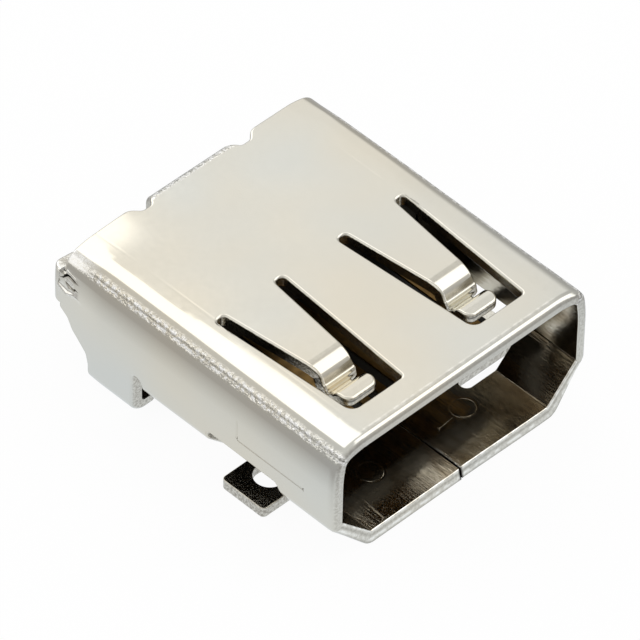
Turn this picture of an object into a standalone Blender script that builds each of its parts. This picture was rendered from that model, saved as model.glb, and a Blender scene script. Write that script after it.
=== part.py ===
"""Micro-size digital video receptacle for a circuit board.

One folded sheet-metal shell with two latch springs and two solder tabs, one moulded insulator with a
tongue, and nineteen contacts. The mouth faces -Y, the board is the plane Z = 0 and X runs across.
Outlines are drawn in millimetres: u is the distance across, v the distance behind the mouth's rim.
"""

import math

import bmesh
import bpy

MM = 0.001

# Shell: overall sizes and the folds of its cross-section
SHELL_WIDTH = 6.45
SHELL_HEIGHT = 2.80
TOP_DEPTH = 7.10
SHEET = 0.25
TOP_BEND = 0.35  # radii of the bends are at the middle of the sheet
LOW_BEND = 0.19
LOW_CORNER = 0.725  # size of the 45 degree corner, measured inside the mouth
SEAM_GAP = 0.04
FLOOR_DEPTH = 4.75

# Latch springs, cut free of the roof and hooked down at their tips
SPRING_PITCH = 3.06
SLOT_END = 3.95
SLOT_WIDTH = 0.22
WINDOW_FRONT = 0.64
WINDOW_HALF_REAR = 0.85
WINDOW_HALF_FRONT = 0.63
WINDOW_ROUND = 0.20
WINDOW_SHARP = 0.08
HOOK_ROOT = 2.08
HOOK_TIP = 0.78  # where the tip lies in the flat sheet
HOOK_WIDTHS = [  # length along the hook, half-width of the strip and rounding
    (0.00, 0.42, 0),
    (0.30, 0.385, 0),
    (0.50, 0.40, 0),
    (0.60, 0.38, 0),
    (0.72, 0.27, 0),
    (1.04, 0.27, 0),
    (1.14, 0.40, 0.05),
]
HOOK_TIP_ROUND = 0.18
SAG_RADIUS = 0.60
SAG_RUN = 0.05
RIDGE_RADIUS = 0.13
STEP_RADIUS = 0.14
TROUGH_RUN = 0.10
TROUGH_RADIUS = 0.15
RISE_RUN = 0.15
LIP_RUN = 0.19

# Solder tabs in the floor, their relief slots and the cut-out above them
TAB_FRONT = 1.70
TAB_REAR = 2.80
TAB_REACH = 3.30
TAB_CORNER = 0.10
TAB_HOLE_X = 2.60
TAB_HOLE_V = 2.26
TAB_HOLE_R = 0.31
RELIEF_FRONT = 1.33
RELIEF_REAR = 3.25
RELIEF_INNER_X = 1.50
CUTOUT_TOP = 1.05
CUTOUT_SLANT = 0.18
CUTOUT_ROUND = 0.09

# Rear of the shell: legs, ears and the flap behind the insulator
LEG_FRONT = 5.20
LEG_REAR = 6.43
LEG_NOTCH = 0.17
LEG_NOTCH_ABOVE_BEND = 0.03
FLOOR_CORNER = 0.36  # how far the floor's rear corner is cut back up the 45 degree side
FLOOR_CORNER_ROUND = 0.10
FOOT_BEND = 0.20
FOOT_REACH = 2.60  # how far in the feet reach, from the middle
FOOT_CORNER = 0.12
FLAP_HALF = 1.00
FLAP_BEND_START = 6.925
REAR_BEND = 0.175
FLAP_BOTTOM = 1.10
FLAP_CORNER = 0.20
NOTCH_WIDTH = 0.205  # at its bottom, where its sides start to slant
NOTCH_SLANT = 0.15
NOTCH_BOTTOM = 6.91
NOTCH_CORNER = 0.12
EAR_START = 7.20
EAR_TOP = 2.27
EAR_BOTTOM = 1.45
EAR_REACH = 0.35
EAR_TOP_ROUND = 0.08
EAR_BOTTOM_ROUND = 0.12
EAR_SLIT = 0.11
EAR_SLIT_FRONT = 7.00
EAR_SLIT_ROUND = 0.04
LEG_EDGE = [  # height, distance behind the rim and rounding, from the ear down to the leg
    (1.36, EAR_START, 0.06),
    (1.22, 7.00, 0),
    (1.00, 6.87, 0),
    (0.68, 6.49, 0.12),
    (0.45, LEG_REAR, 0),
]

# Insulator
CLEAR = 0.03
CONTACT_CLEAR = 0.01
BODY_FRONT = 4.15
TONGUE_HALF = 2.05
TONGUE_FRONT = 1.25
TONGUE_LOW = 0.98
TONGUE_HIGH = 1.62
TONGUE_CHAMFER = 0.12
TONGUE_ROOT = 0.5  # how far the tongue is sunk into the block that it joins

# Contacts
CONTACT_PITCH = 0.40
UPPER_COUNT = 10
LOWER_COUNT = 9
CONTACT_WIDTH = 0.20
CONTACT_THICK = 0.12
CONTACT_PROUD = 0.03
CONTACT_FRONT = 1.42
CONTACT_BEND = 0.15
TAIL_HEIGHT = 0.09
UPPER_DROP = 6.60
UPPER_TAIL = 7.48
LOWER_DROP = 5.45
LOWER_TAIL = 6.10

# Points of an outline closer than this are one
WELD = 0.0005
# This share of a slot's width, as a corner radius, rounds its whole end
ROUND_END = 0.49
# How far past its own edge a region of the flat sheet is taken to reach
EDGE = 0.01

# Sizes that follow from the ones above
HALF = SHEET / 2
SIDE = SHELL_WIDTH / 2 - HALF
ROOF = SHELL_HEIGHT - HALF
INNER_HALF = SHELL_WIDTH / 2 - SHEET
CORNER_X = INNER_HALF - LOW_CORNER + HALF * math.tan(math.radians(22.5))
CORNER_Z = SIDE - CORNER_X + HALF
LOW_TANGENT = LOW_BEND * math.tan(math.radians(22.5))
WALL_END = CORNER_Z + LOW_TANGENT
FLOOR_START = CORNER_X - LOW_TANGENT
SPRING_X = SPRING_PITCH / 2
TOTAL_DEPTH = EAR_START + REAR_BEND + HALF
MIDDLE = TOTAL_DEPTH / 2

# Lengths along the section, from the middle of the roof outwards
S_ROOF = SIDE - TOP_BEND
S_WALL = S_ROOF + TOP_BEND * math.pi / 2
S_WALL_END = S_WALL + ROOF - TOP_BEND - WALL_END
S_SLOPE = S_WALL_END + LOW_BEND * math.pi / 4
S_SLOPE_END = S_SLOPE + math.dist((CORNER_X, HALF), (SIDE, CORNER_Z)) - 2 * LOW_TANGENT
S_FLOOR = S_SLOPE_END + LOW_BEND * math.pi / 4
S_SEAM = S_FLOOR + FLOOR_START - SEAM_GAP / 2
S_FOOT = S_WALL + ROOF - TOP_BEND - HALF - FOOT_BEND
S_FOOT_FLAT = S_FOOT + FOOT_BEND * math.pi / 2
S_FOOT_END = S_FOOT_FLAT + SIDE - FOOT_BEND - FOOT_REACH


def arc(radius, degrees):
    """One bend of a fold, as its length and the angle that it turns through."""
    return radius * math.radians(abs(degrees)), math.radians(degrees)


def run(length):
    """One straight stretch of a fold, as its length and a turn of zero."""
    return length, 0.0


HOOK = [
    arc(SAG_RADIUS, -16),
    run(SAG_RUN),
    arc(RIDGE_RADIUS, -42),
    arc(STEP_RADIUS, 36),
    arc(RIDGE_RADIUS, -62),
    run(TROUGH_RUN),
    arc(TROUGH_RADIUS, 148),
    run(RISE_RUN),
    arc(RIDGE_RADIUS, -64),
    run(LIP_RUN),
]
HOOK_LENGTH = sum(length for length, _ in HOOK)
SECTION = [
    run(S_ROOF),
    arc(TOP_BEND, -90),
    run(S_WALL_END - S_WALL),
    arc(LOW_BEND, -45),
    run(S_SLOPE_END - S_SLOPE),
    arc(LOW_BEND, -45),
    run(S_SEAM - S_FLOOR),
]
LEG = [
    run(S_ROOF),
    arc(TOP_BEND, -90),
    run(S_FOOT - S_WALL),
    arc(FOOT_BEND, -90),
    run(S_FOOT_END - S_FOOT_FLAT),
]
REAR_FLAP = [arc(REAR_BEND, -90), run(ROOF - REAR_BEND - FLAP_BOTTOM)]
EAR = [arc(REAR_BEND, -90), run(EAR_REACH)]


def walk(steps, length, lift):
    """The point after this length of a fold that starts level and goes out, raised off it by lift."""
    out, up, heading = 0.0, 0.0, 0.0
    for step, turn in steps:
        part = min(length, step)
        if turn:
            radius = step / turn
            end = heading + part / radius
            out += radius * (math.sin(end) - math.sin(heading))
            up -= radius * (math.cos(end) - math.cos(heading))
            heading = end
        else:
            out += part * math.cos(heading)
            up += part * math.sin(heading)
        length -= part
        if length <= 0:
            break
    return out - lift * math.sin(heading), up + lift * math.cos(heading)


def bend_lines(steps, start=0.0, degrees=15):
    """The lengths along a fold at which its bends begin, end and are divided."""
    lines = []
    for step, turn in steps:
        if turn:
            parts = max(2, math.ceil(abs(math.degrees(turn)) / degrees))
            lines += [start + step * i / parts for i in range(parts + 1)]
        start += step
    return lines


def rounded(corners):
    """An outline through corners, each (u, v, radius), with an arc at each corner that has a radius."""
    points = []
    for i, (u, v, radius) in enumerate(corners):
        before = corners[i - 1]
        after = corners[(i + 1) % len(corners)]
        if not radius:
            points.append((u, v))
            continue
        a = math.atan2(before[1] - v, before[0] - u)
        b = math.atan2(after[1] - v, after[0] - u)
        between = (b - a + math.pi) % (2 * math.pi) - math.pi
        back = radius / math.tan(abs(between) / 2)
        reach = radius / math.sin(abs(between) / 2)
        middle = a + between / 2
        centre = (u + reach * math.cos(middle), v + reach * math.sin(middle))
        first = (u + back * math.cos(a) - centre[0], v + back * math.sin(a) - centre[1])
        start = math.atan2(first[1], first[0])
        sweep = -math.copysign(math.pi - abs(between), between)
        parts = max(2, math.ceil(abs(sweep) / math.radians(30)))
        for step in range(parts + 1):
            angle = start + sweep * step / parts
            points.append((centre[0] + radius * math.cos(angle), centre[1] + radius * math.sin(angle)))
    return points


def hook_v(length):
    """Where a length along the hook lies in the flat sheet."""
    return HOOK_ROOT - length * (HOOK_ROOT - HOOK_TIP) / HOOK_LENGTH


def wall_s(height):
    """Where a height on the side wall lies in the flat sheet."""
    return S_WALL + ROOF - TOP_BEND - height


def floor_s(u):
    """Where a distance from the middle of the floor lies in the flat sheet."""
    return S_FLOOR + FLOOR_START - u


def shell_half_outline():
    """The right half of the flat sheet's edge, from the middle of the flap to the front seam corner."""
    notch_inner = FLAP_HALF + NOTCH_SLANT
    notch_outer = notch_inner + NOTCH_WIDTH
    notch_edge = notch_outer + TOP_DEPTH - NOTCH_BOTTOM
    flap_end = FLAP_BEND_START + REAR_BEND * math.pi / 2 + ROOF - REAR_BEND - FLAP_BOTTOM
    ear_end = EAR_START + REAR_BEND * math.pi / 2 + EAR_REACH
    ear_top = wall_s(EAR_TOP)
    ear_bottom = wall_s(EAR_BOTTOM)
    notch_s = S_WALL_END - LEG_NOTCH_ABOVE_BEND
    notch_round = LEG_NOTCH * ROUND_END
    return [
        (FLAP_HALF, flap_end, FLAP_CORNER),
        (FLAP_HALF, NOTCH_BOTTOM + NOTCH_SLANT, NOTCH_CORNER),
        (notch_inner, NOTCH_BOTTOM, NOTCH_CORNER),
        (notch_outer, NOTCH_BOTTOM, NOTCH_CORNER),
        (notch_edge, TOP_DEPTH, NOTCH_CORNER),
        (ear_top - EAR_SLIT, TOP_DEPTH, EAR_SLIT_ROUND),
        (ear_top - EAR_SLIT, EAR_SLIT_FRONT, EAR_SLIT_ROUND),
        (ear_top, EAR_SLIT_FRONT, EAR_SLIT_ROUND),
        (ear_top, ear_end, EAR_TOP_ROUND),
        (ear_bottom, ear_end, EAR_BOTTOM_ROUND),
        (ear_bottom, EAR_START, 0),
        *((wall_s(height), v, radius) for height, v, radius in LEG_EDGE),
        (S_FOOT_END, LEG_REAR, FOOT_CORNER),
        (S_FOOT_END, LEG_FRONT, FOOT_CORNER),
        (notch_s, LEG_FRONT, notch_round),
        (notch_s, LEG_FRONT - LEG_NOTCH, notch_round),
        (S_SLOPE, LEG_FRONT - LEG_NOTCH, 0),
        (S_SLOPE + FLOOR_CORNER, FLOOR_DEPTH, FLOOR_CORNER_ROUND),
        (S_SEAM, FLOOR_DEPTH, 0),
        (S_SEAM, 0.0, 0),
    ]


def tab_cutout():
    """The hole that frees the right solder tab: two relief slots, joined by the cut-out in the wall."""
    inner = floor_s(RELIEF_INNER_X)
    front_round = (TAB_FRONT - RELIEF_FRONT) * ROUND_END
    rear_round = (RELIEF_REAR - TAB_REAR) * ROUND_END
    tab_end = floor_s(TAB_REACH)
    top = wall_s(CUTOUT_TOP)
    return [
        (inner, RELIEF_FRONT, front_round),
        (S_SLOPE, RELIEF_FRONT, 0),
        (top, RELIEF_FRONT + CUTOUT_SLANT, CUTOUT_ROUND),
        (top, RELIEF_REAR, CUTOUT_ROUND),
        (S_SLOPE, RELIEF_REAR, 0),
        (inner, RELIEF_REAR, rear_round),
        (inner, TAB_REAR, rear_round),
        (tab_end, TAB_REAR, TAB_CORNER),
        (tab_end, TAB_FRONT, TAB_CORNER),
        (inner, TAB_FRONT, front_round),
    ]


def window(centre):
    """The hole round one latch spring, whose outline is the spring's own edge."""
    slot_round = SLOT_WIDTH * ROUND_END
    spring_rear = WINDOW_HALF_REAR - SLOT_WIDTH
    right = [(spring_rear, SLOT_END, slot_round)]
    right += [(width, hook_v(length), radius) for length, width, radius in HOOK_WIDTHS]
    right += [(HOOK_WIDTHS[-1][1], HOOK_TIP, HOOK_TIP_ROUND)]
    left = [(-u, v, radius) for u, v, radius in reversed(right)]
    outer = [
        (-WINDOW_HALF_REAR, SLOT_END, slot_round),
        (-WINDOW_HALF_FRONT, WINDOW_FRONT, WINDOW_ROUND),
        (WINDOW_HALF_FRONT, WINDOW_FRONT, WINDOW_SHARP),
        (WINDOW_HALF_REAR, SLOT_END, slot_round),
    ]
    return [(centre + u, v, radius) for u, v, radius in right + left + outer]


def circle(u, v, radius, count=24):
    """A round outline."""
    angles = [2 * math.pi * i / count for i in range(count)]
    return [(u + radius * math.cos(angle), v + radius * math.sin(angle)) for angle in angles]


def mirrored(corners):
    """The same outline on the other side of the middle, going round the same way."""
    return [(-u, v, radius) for u, v, radius in reversed(corners)]


def fold_shell(s, v, lift):
    """Where a point of the flat sheet, lifted towards its outer face, goes when the shell is folded."""
    side = math.copysign(1.0, s)
    s = abs(s)
    if s < FLAP_HALF + NOTCH_SLANT + EDGE and v > FLAP_BEND_START:
        back, up = walk(REAR_FLAP, v - FLAP_BEND_START, lift)
        return side * s, FLAP_BEND_START + back, ROOF + up
    if abs(s - SPRING_X) < HOOK_WIDTHS[0][1] + EDGE and HOOK_TIP - EDGE < v < HOOK_ROOT:
        length = (HOOK_ROOT - v) * HOOK_LENGTH / (HOOK_ROOT - HOOK_TIP)
        forward, up = walk(HOOK, length, lift)
        return side * s, HOOK_ROOT - forward, ROOF + up
    if s > S_WALL and v > EAR_START:
        back, outward = walk(EAR, v - EAR_START, lift)
        return side * (SIDE + outward), EAR_START + back, ROOF - TOP_BEND - (s - S_WALL)
    if S_WALL_END < s < S_FLOOR and TAB_FRONT - EDGE < v < TAB_REAR + EDGE:
        return side * (FLOOR_START + S_FLOOR - s), v, HALF - lift
    across, up = walk(LEG if v > LEG_FRONT - EDGE else SECTION, s, lift)
    return side * across, v, ROOF + up


def placed(across, behind, up):
    """A point in the part's own frame, in metres."""
    return across * MM, (behind - MIDDLE) * MM, up * MM


def collection_named(name):
    found = bpy.data.collections.new(name)
    bpy.context.scene.collection.children.link(found)
    return found


def material(name, colour, metallic, roughness):
    made = bpy.data.materials.new(name)
    made.use_nodes = True
    shader = made.node_tree.nodes["Principled BSDF"]
    shader.inputs["Base Color"].default_value = (*colour, 1.0)
    shader.inputs["Metallic"].default_value = metallic
    shader.inputs["Roughness"].default_value = roughness
    return made


def object_from(bm, name, where, finish):
    mesh = bpy.data.meshes.new(name)
    bm.to_mesh(mesh)
    bm.free()
    made = bpy.data.objects.new(name, mesh)
    where.objects.link(made)
    if finish:
        mesh.materials.append(finish)
    return made


def plate(outlines, cuts):
    """A flat sheet of no thickness, from a filled 2D curve: its edge, its holes, then its dividing lines."""
    curve = bpy.data.curves.new("flat_sheet", "CURVE")
    curve.dimensions = "2D"
    curve.fill_mode = "BOTH"
    for outline in outlines:
        spline = curve.splines.new("POLY")
        spline.points.add(len(outline) - 1)
        spline.use_cyclic_u = True
        for point, (u, v) in zip(spline.points, outline):
            point.co = (u, v, 0.0, 1.0)
    drawn = bpy.data.objects.new("flat_sheet", curve)
    bpy.context.scene.collection.objects.link(drawn)
    bpy.context.view_layer.update()
    mesh = bpy.data.meshes.new_from_object(drawn.evaluated_get(bpy.context.evaluated_depsgraph_get()))
    bm = bmesh.new()
    bm.from_mesh(mesh)
    bpy.data.objects.remove(drawn)
    bpy.data.curves.remove(curve)
    bpy.data.meshes.remove(mesh)
    bmesh.ops.remove_doubles(bm, verts=bm.verts, dist=WELD)
    for axis, lines, wanted in cuts:
        divide(bm, axis, lines, wanted)
    bmesh.ops.remove_doubles(bm, verts=bm.verts, dist=WELD)
    bmesh.ops.dissolve_degenerate(bm, edges=bm.edges, dist=WELD)
    return bm


def divide(bm, axis, lines, wanted):
    """Cuts the faces whose middle passes the test along lines of constant u (0) or v (1)."""
    direction = (1.0, 0.0, 0.0) if axis == 0 else (0.0, 1.0, 0.0)
    for line in lines:
        faces = [f for f in bm.faces if wanted(*f.calc_center_median().xy)]
        edges = {e for f in faces for e in f.edges}
        verts = {v for f in faces for v in f.verts}
        place = (line, 0.0, 0.0) if axis == 0 else (0.0, line, 0.0)
        geometry = [*verts, *edges, *faces]
        bmesh.ops.bisect_plane(bm, geom=geometry, dist=WELD, plane_co=place, plane_no=direction)


def thicken(bm, low, high, shape):
    """Gives the flat sheet its thickness, from low to high, then moves each point where shape puts it."""
    for vertex in bm.verts:
        vertex.co.z = low
    pulled = bmesh.ops.extrude_face_region(bm, geom=list(bm.faces))["geom"]
    for vertex in pulled:
        if isinstance(vertex, bmesh.types.BMVert):
            vertex.co.z = high
    for vertex in bm.verts:
        vertex.co = placed(*shape(*vertex.co))
    bmesh.ops.triangulate(bm, faces=bm.faces)
    bmesh.ops.recalc_face_normals(bm, faces=bm.faces)


def make_shell(where, finish):
    """The shell: a flat sheet with its holes, folded at each bend and given its thickness."""
    half = shell_half_outline()
    outlines = [rounded(half + mirrored(half))]
    for corners in (tab_cutout(), mirrored(tab_cutout())):
        outlines.append(rounded(corners))
    for side in (-1, 1):
        outlines.append(rounded(window(side * SPRING_X)))
        outlines.append(circle(side * floor_s(TAB_HOLE_X), TAB_HOLE_V, TAB_HOLE_R))
    cuts = [
        (1, bend_lines(REAR_FLAP, FLAP_BEND_START), lambda u, v: v > FLOOR_DEPTH),
        (1, bend_lines(EAR, EAR_START), lambda u, v: abs(u) > S_ROOF and v > FLOOR_DEPTH),
    ]
    for side in (-1, 1):
        centre = side * SPRING_X
        cuts += [
            (0, [side * s for s in bend_lines(SECTION)], lambda u, v: v < LEG_FRONT),
            (0, [side * s for s in bend_lines(LEG)], lambda u, v: v > LEG_FRONT - LEG_NOTCH),
            (1, [HOOK_ROOT], lambda u, v, c=centre: abs(u - c) < WINDOW_HALF_REAR),
            (
                1,
                [hook_v(length) for length in bend_lines(HOOK)],
                lambda u, v, c=centre: abs(u - c) < HOOK_WIDTHS[0][1] and HOOK_TIP < v < HOOK_ROOT,
            ),
        ]
    bm = plate(outlines, cuts)
    thicken(bm, -HALF, HALF, fold_shell)
    return object_from(bm, "shell", where, finish)


def prism(name, outline, start, end, axis, where, finish=None):
    """A solid of constant section: an outline of (u, up) pushed along v, or one of (v, up) pushed along u."""
    bm = plate([outline], [])
    if axis == "v":
        thicken(bm, start, end, lambda across, up, along: (across, along, up))
    else:
        thicken(bm, start, end, lambda behind, up, along: (along, behind, up))
    return object_from(bm, name, where, finish)


def contact_fold(upper):
    """A contact's height at its front end and its fold towards the rear: level, down, and out as a tail."""
    if upper:
        level = TONGUE_HIGH + CONTACT_PROUD - CONTACT_THICK / 2
        drop, tail = UPPER_DROP, UPPER_TAIL
    else:
        level = TONGUE_LOW - CONTACT_PROUD + CONTACT_THICK / 2
        drop, tail = LOWER_DROP, LOWER_TAIL
    return level, [
        run(drop - CONTACT_BEND - CONTACT_FRONT),
        arc(CONTACT_BEND, -90),
        run(level - TAIL_HEIGHT - 2 * CONTACT_BEND),
        arc(CONTACT_BEND, 90),
        run(tail - drop - CONTACT_BEND),
    ]


def contact_strip(name, middle, upper, clear, where, finish=None):
    """A bent strip at a distance across, grown on every side by a clearance."""
    level, steps = contact_fold(upper)
    length = sum(step for step, _ in steps)
    half = CONTACT_WIDTH / 2 + clear
    lift = CONTACT_THICK / 2 + clear
    outline = [(-clear, -half), (length + clear, -half), (length + clear, half), (-clear, half)]
    bm = plate([outline], [(0, bend_lines(steps, degrees=30), lambda s, u: True)])

    def fold(s, u, up):
        before = min(s, 0.0)
        after = max(s - length, 0.0)
        back, rise = walk(steps, min(max(s, 0.0), length), up)
        return middle + u, CONTACT_FRONT + before + back + after, level + rise

    thicken(bm, -lift, lift, fold)
    return object_from(bm, name, where, finish)


def contact_places():
    """Each contact's name, distance across and row."""
    for i in range(UPPER_COUNT):
        yield f"contact_upper_{i + 1}", (i - (UPPER_COUNT - 1) / 2) * CONTACT_PITCH, True
    for i in range(LOWER_COUNT):
        yield f"contact_lower_{i + 1}", (i - (LOWER_COUNT - 1) / 2) * CONTACT_PITCH, False


def make_contacts(where, finish):
    """Nineteen contacts in two rows, those below between those above."""
    for name, middle, upper in contact_places():
        contact_strip(name, middle, upper, 0.0, where, finish)


def make_insulator(where, cutters, finish):
    """The insulator: a block that fills the rear of the shell, with a tongue and a groove for each contact."""
    inner = INNER_HALF - CLEAR
    low = SHEET + CLEAR
    high = SHELL_HEIGHT - SHEET - CLEAR
    corner = LOW_CORNER - CLEAR * math.tan(math.radians(22.5))
    top_round = TOP_BEND - HALF
    section = [
        (inner - corner, low, 0),
        (inner, low + corner, 0),
        (inner, high, top_round),
        (-inner, high, top_round),
        (-inner, low + corner, 0),
        (corner - inner, low, 0),
    ]
    body_rear = FLAP_BEND_START + REAR_BEND - HALF - CLEAR
    body = prism("insulator", rounded(section), BODY_FRONT, body_rear, "v", where, finish)
    tongue_rear = BODY_FRONT + TONGUE_ROOT
    tongue_side = [
        (TONGUE_FRONT, TONGUE_LOW + TONGUE_CHAMFER),
        (TONGUE_FRONT + TONGUE_CHAMFER, TONGUE_LOW),
        (tongue_rear, TONGUE_LOW),
        (tongue_rear, TONGUE_HIGH),
        (TONGUE_FRONT + TONGUE_CHAMFER, TONGUE_HIGH),
        (TONGUE_FRONT, TONGUE_HIGH - TONGUE_CHAMFER),
    ]
    tongue = prism("tongue_block", tongue_side, -TONGUE_HALF, TONGUE_HALF, "u", cutters)
    change = body.modifiers.new(tongue.name, "BOOLEAN")
    change.operation = "UNION"
    change.object = tongue
    grooves = bpy.data.collections.new("contact_grooves")
    cutters.children.link(grooves)
    for name, middle, upper in contact_places():
        contact_strip(f"groove_{name}", middle, upper, CONTACT_CLEAR, grooves)
    cut = body.modifiers.new("contact_grooves", "BOOLEAN")
    cut.operation = "DIFFERENCE"
    cut.operand_type = "COLLECTION"
    cut.collection = grooves
    return body


def main():
    for old in list(bpy.data.objects):
        bpy.data.objects.remove(old)
    parts = collection_named("board_receptacle")
    cutters = collection_named("cutters")
    nickel = material("plated_sheet", (0.72, 0.71, 0.66), 1.0, 0.28)
    resin = material("black_resin", (0.012, 0.012, 0.013), 0.0, 0.45)
    gold = material("gold_plating", (0.83, 0.60, 0.25), 1.0, 0.25)
    make_shell(parts, nickel)
    make_insulator(parts, cutters, resin)
    make_contacts(parts, gold)
    for tool in cutters.all_objects:
        tool.hide_render = True
        tool.display_type = "WIRE"


main()
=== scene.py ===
"""The look of the micro size board receptacle: the shell as a fine folded sheet, and every finish.

Outlines are drawn flat, in millimetres: s runs from the middle of the roof down a side, v is the distance
behind the mouth's rim, and lift is the height above the middle of the sheet, towards its outer face.
"""

import math

import bpy
import numpy as np
from mathutils import Matrix, Vector
from mathutils.geometry import delaunay_2d_cdt


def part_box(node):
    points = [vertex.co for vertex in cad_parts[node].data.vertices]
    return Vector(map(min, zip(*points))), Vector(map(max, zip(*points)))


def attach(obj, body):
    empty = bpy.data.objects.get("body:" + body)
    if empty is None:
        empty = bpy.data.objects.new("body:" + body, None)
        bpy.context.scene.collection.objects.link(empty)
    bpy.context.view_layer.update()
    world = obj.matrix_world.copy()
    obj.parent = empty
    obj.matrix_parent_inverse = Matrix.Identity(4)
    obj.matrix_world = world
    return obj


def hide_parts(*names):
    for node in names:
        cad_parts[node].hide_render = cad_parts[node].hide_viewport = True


MM = 0.001

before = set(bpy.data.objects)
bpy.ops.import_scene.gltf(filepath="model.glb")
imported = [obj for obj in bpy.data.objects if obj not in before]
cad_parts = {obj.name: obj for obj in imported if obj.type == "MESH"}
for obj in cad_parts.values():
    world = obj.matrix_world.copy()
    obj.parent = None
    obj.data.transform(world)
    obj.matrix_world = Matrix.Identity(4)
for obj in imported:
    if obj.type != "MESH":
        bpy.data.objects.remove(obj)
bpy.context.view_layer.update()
shell_low, shell_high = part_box("shell")

# Shell sizes, the overall ones from the frame
SHELL_HEIGHT = shell_high[2] / MM
TAB_REACH = shell_high[0] / MM
MIDDLE = -shell_low[1] / MM
SHELL_WIDTH = 6.45
TOP_DEPTH = 7.10
SHEET = 0.25
LOW_BEND = 0.19
LOW_CORNER = 0.725
SEAM_GAP = 0.012
FLOOR_DEPTH = 4.75

# Latch springs
SPRING_PITCH = 3.06
SLOT_END = 3.95
SLOT_WIDTH = 0.22
WINDOW_FRONT = 0.64
WINDOW_HALF_REAR = 0.85
WINDOW_HALF_FRONT = 0.63
WINDOW_ROUND = 0.20
WINDOW_SHARP = 0.08
HOOK_ROOT = 2.08
HOOK_TIP = 0.78
HOOK_WIDTHS = [
    (0.00, 0.42, 0),
    (0.30, 0.385, 0),
    (0.50, 0.40, 0),
    (0.60, 0.38, 0),
    (0.72, 0.27, 0),
    (1.04, 0.27, 0),
    (1.14, 0.40, 0.05),
]
HOOK_TIP_ROUND = 0.18
SAG_RADIUS = 0.60
SAG_RUN = 0.05
RIDGE_RADIUS = 0.13
STEP_RADIUS = 0.14
STEP_TURN = 20
STEEP_RUN = 0.12
TROUGH_RUN = 0.034
TROUGH_RADIUS = 0.15
RISE_RUN = 0.15
LIP_RUN = 0.19

# Solder tabs
TAB_FRONT = 1.70
RIGHT_TAB_FRONT = 1.62
TAB_REAR = 2.80
TAB_CORNER = 0.10
TAB_HOLE_X = 2.60
TAB_HOLE_V = 2.26
TAB_HOLE_R = 0.31
RELIEF_FRONT = 1.33
RELIEF_REAR = 3.25
RELIEF_INNER_X = 1.50
CUTOUT_TOP = 1.05
CUTOUT_SLANT = 0.18
CUTOUT_ROUND = 0.09

# Legs, ears and flap
LEG_FRONT = 5.20
LEG_REAR = 6.43
LEG_NOTCH = 0.17
LEG_NOTCH_ABOVE_BEND = 0.03
FLOOR_CORNER = 0.36
FLOOR_CORNER_ROUND = 0.10
FOOT_BEND = 0.20
FOOT_REACH = 2.60
FOOT_CORNER = 0.12
FLAP_HALF = 1.00
FLAP_BEND_START = 6.925
REAR_BEND = 0.175
FLAP_BOTTOM = 1.10
FLAP_CORNER = 0.20
NOTCH_WIDTH = 0.205
NOTCH_SLANT = 0.15
NOTCH_BOTTOM = 6.91
NOTCH_CORNER = 0.12
NOTCH_TOP_CORNER = 0.25
EAR_START = 7.20
EAR_TOP = 2.27
EAR_BOTTOM = 1.45
EAR_REACH = 0.35
EAR_TOP_ROUND = 0.08
EAR_BOTTOM_ROUND = 0.12
EAR_SLIT = 0.03
EAR_SLIT_FRONT = 7.05
EAR_SLIT_ROUND = 0.01
LEG_EDGE = [
    (1.36, EAR_START, 0.06),
    (1.22, 7.00, 0),
    (1.00, 6.87, 0),
    (0.68, 6.49, 0.12),
    (0.45, LEG_REAR, 0),
]

# The look of the sheet: its sheared edges, its marks, its painted highlights and shade, and how far it strays from flat
ROUND_END = 0.49
EDGE = 0.01
ARC_STEP = math.radians(9)
BEND_STEP = 5
ROLL = 0.05  # radius of the edge on the outer face, where the punch drew it in
BURR = 0.018  # radius of the edge on the inner face
LEG_ROLL = 0.10
RIM_EASE = 0.08  # the mouth's rim is drawn in: it falls gently over this length, then turns down
RIM_EASE_TURN = 10
RIM_ROLL = 0.11
RIM_COIN = 0.03
UNDER_ROLL = 0.03  # the floor's rim keeps a sharper edge and leans forward at the bottom
UNDER_COIN = 0.02
UNDER_LEAN = 0.06
LIP_UNDER = 0.09
FACE_RINGS = 5
RIM_BAND = 0.12
RIM_SMOOTH = 0.75
# painted highlight lines on the floor's rim, their heights and half-widths, and where the roof's painted highlight
# specks run behind the rim
HIGHLIGHT_LIFTS = (0.035, -0.115)
HIGHLIGHT_HALF = (0.01, 0.045)
RIM_SPECKS = 0.171
TAB_DULL = 0.35
# strengths of the painted shade lines under a spring's lip and on the floor's rim
LIP_DARK = 0.75
RIM_DARK = 0.25
SLIT_DEPTH = 0.025  # deeper lines on the wall are open slits, painted near black as shade
EDGE_STEPS = 6
MARK_STEP = 0.25
MARK_KEEP_OFF = 0.06
RIM_KEEP_OFF = 0.20
MARK_PARTS = (-1.0, -0.5, 0.0, 0.5, 1.0)  # a mark's lines, as shares of its half-width
GRID = 0.16
GRID_KEEP_OFF = 0.22
TOP_EASE_IN = 0.42  # the roof starts to fall this far before its bend, and the wall straightens below it
TOP_EASE_IN_TURN = 16
TOP_BEND = 0.319
TOP_EASE_OUT = 0.50
TOP_EASE_OUT_TURN = 10
CREASE_INSET = 0.05  # a faint line beside each top bend, deeper here and there
CREASE_HALF = 0.05
CREASE_DEPTH = 0.0006
CREASE_BEAT = 2.3
BAND_LATE = 0.20  # how much later the roof starts to fall towards the rear
BAND_WANDER = 0.012
PEEL_ROWS = [  # where the plating is crazed along the bend, each bead painted white as a highlight: degrees round it, half-width and strength
    (30.8, 4.9, 0.10),
    (40.6, 9.0, 1.0),
    (50.5, 9.0, 1.0),
]
PEEL_LINE = (45.5, 3.5, 0.55)  # a painted shade line between the two rows
FLAP_PEEL = (6.97, 7.06, 0.7)
PEEL_END = (6.45, 6.62)
CORNER_HIGHLIGHT_BEHIND = (6.35, 6.75)  # the rear left corner of the roof is painted white as a highlight: where that starts, and how far round the bend
CORNER_HIGHLIGHT_ROUND = (12.0, 24.0, 50.0, 62.0)
CORNER_HIGHLIGHT_STRENGTH = 0.8
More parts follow.
